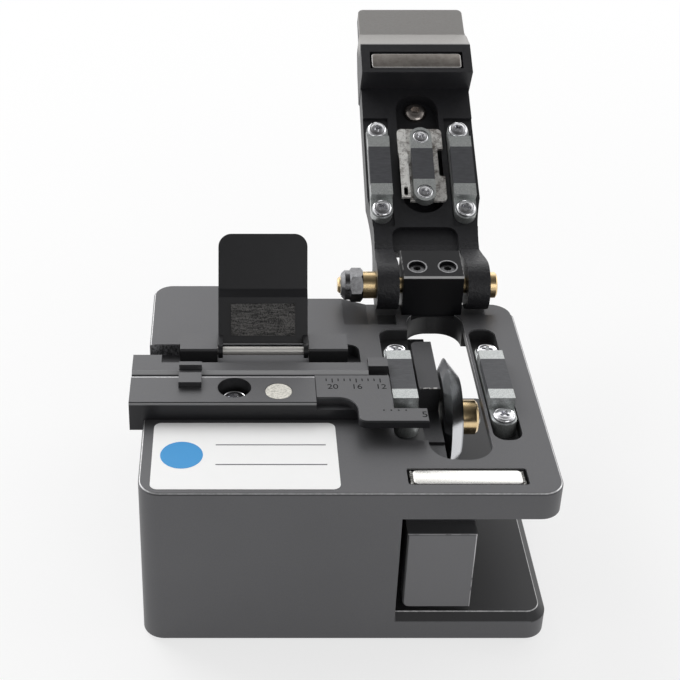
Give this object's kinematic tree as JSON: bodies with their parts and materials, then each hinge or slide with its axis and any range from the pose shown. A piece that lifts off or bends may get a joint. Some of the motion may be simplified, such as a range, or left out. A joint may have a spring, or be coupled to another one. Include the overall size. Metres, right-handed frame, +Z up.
{
  "type": "fibre cleaver",
  "caption": "Bench cleaver for optical fibre: C-shaped metal body, hinged clamp arm, round blade on a slider, and a fibre holder with a small lid.",
  "frame": {"origin": "centre of the flat underside of the base plate", "axes": "+Z up, -Y towards the user and the front face, +X towards the clamp arm and the open side of the body"},
  "size_m": [0.0683, 0.1171, 0.0649],
  "materials": {
    "body_anodised": "satin dark grey anodised",
    "arm_black": "satin black",
    "holder_black": "satin black anodised",
    "hinge_block_grey": "satin",
    "pad_steel": "satin",
    "screw_chrome": "polished",
    "set_screw_black": "blackened",
    "bolt_brass": "turned",
    "nut_chrome": "polished",
    "washer_metal": "turned",
    "pad_rubber": "matte",
    "magnet_nickel": "satin nickel plate",
    "scale_black": "satin black with white marks",
    "pin_steel": "ground",
    "lid_black": "satin black",
    "foam_black": "open foam",
    "leaf_steel": "bright",
    "slider_black": "satin black anodised",
    "rail_steel": "ground",
    "blade_steel": "ground and polished",
    "nut_brass": "turned",
    "label_white": "paper label"
  },
  "bodies": {
    "body": {"body_frame": "body_anodised", "hinge_block": "hinge_block_grey", "hinge_block_screws": "screw_chrome", "hinge_set_screws": "set_screw_black", "hinge_bolt": "bolt_brass", "hinge_nut": "nut_chrome", "hinge_washers": "washer_metal", "base_pad_left": "pad_steel", "base_pad_right": "pad_steel", "base_pad_rubbers": "pad_rubber", "base_pad_screws": "screw_chrome", "base_magnet": "magnet_nickel", "fibre_holder": "holder_black", "ruler_plate": "scale_black", "holder_screw": "screw_chrome", "holder_magnet": "magnet_nickel", "fibre_guide_clip": "lid_black", "fibre_stop": "holder_black", "lid_hinge_block": "holder_black", "lid_hinge_pin": "pin_steel", "guide_rail": "rail_steel", "guide_rail_screws": "screw_chrome"},
    "lid": {"holder_lid": "lid_black", "lid_foam_pad": "foam_black"},
    "arm": {"clamp_arm": "arm_black", "arm_pad_left": "pad_steel", "arm_pad_right": "pad_steel", "arm_pad_rubbers": "pad_rubber", "arm_pad_screws": "screw_chrome", "arm_magnet": "magnet_nickel", "arm_stop_screw": "screw_chrome", "anvil_bracket": "leaf_steel"},
    "anvil": {"anvil_block": "pad_steel", "anvil_rubber": "pad_rubber", "anvil_screws": "screw_chrome"},
    "slider": {"slider_body": "slider_black", "push_block": "slider_black", "guide_carriage": "rail_steel", "slider_screws": "screw_chrome", "blade_axle": "pin_steel", "blade_nut": "nut_brass"},
    "blade": {"blade_disc": "blade_steel"}
  },
  "joints": [
    {"name": "arm_hinge", "type": "hinge", "parent": "body", "child": "arm", "pos_m": [0.0187, 0.0249, 0.0345], "axis": [1, 0, 0], "range_deg": [0, 153]},
    {"name": "lid_hinge", "type": "hinge", "parent": "body", "child": "lid", "pos_m": [-0.013, 0.0054, 0.0331], "axis": [1, 0, 0], "range_deg": [0, 120]},
    {"name": "slider_slide", "type": "slide", "parent": "body", "child": "slider", "axis": [0, 1, 0], "range_m": [-0.0105, 0.007]},
    {"name": "blade_index", "type": "hinge", "parent": "slider", "child": "blade", "pos_m": [0.0183, -0.00075, 0.0234], "axis": [1, 0, 0], "continuous": true},
    {"name": "anvil_travel", "type": "slide", "parent": "arm", "child": "anvil", "axis": [0, -0.454, 0.891], "range_m": [0, 0.0006], "stiffness_N_per_m": 200, "springref_m": -0.0005}
  ]
}
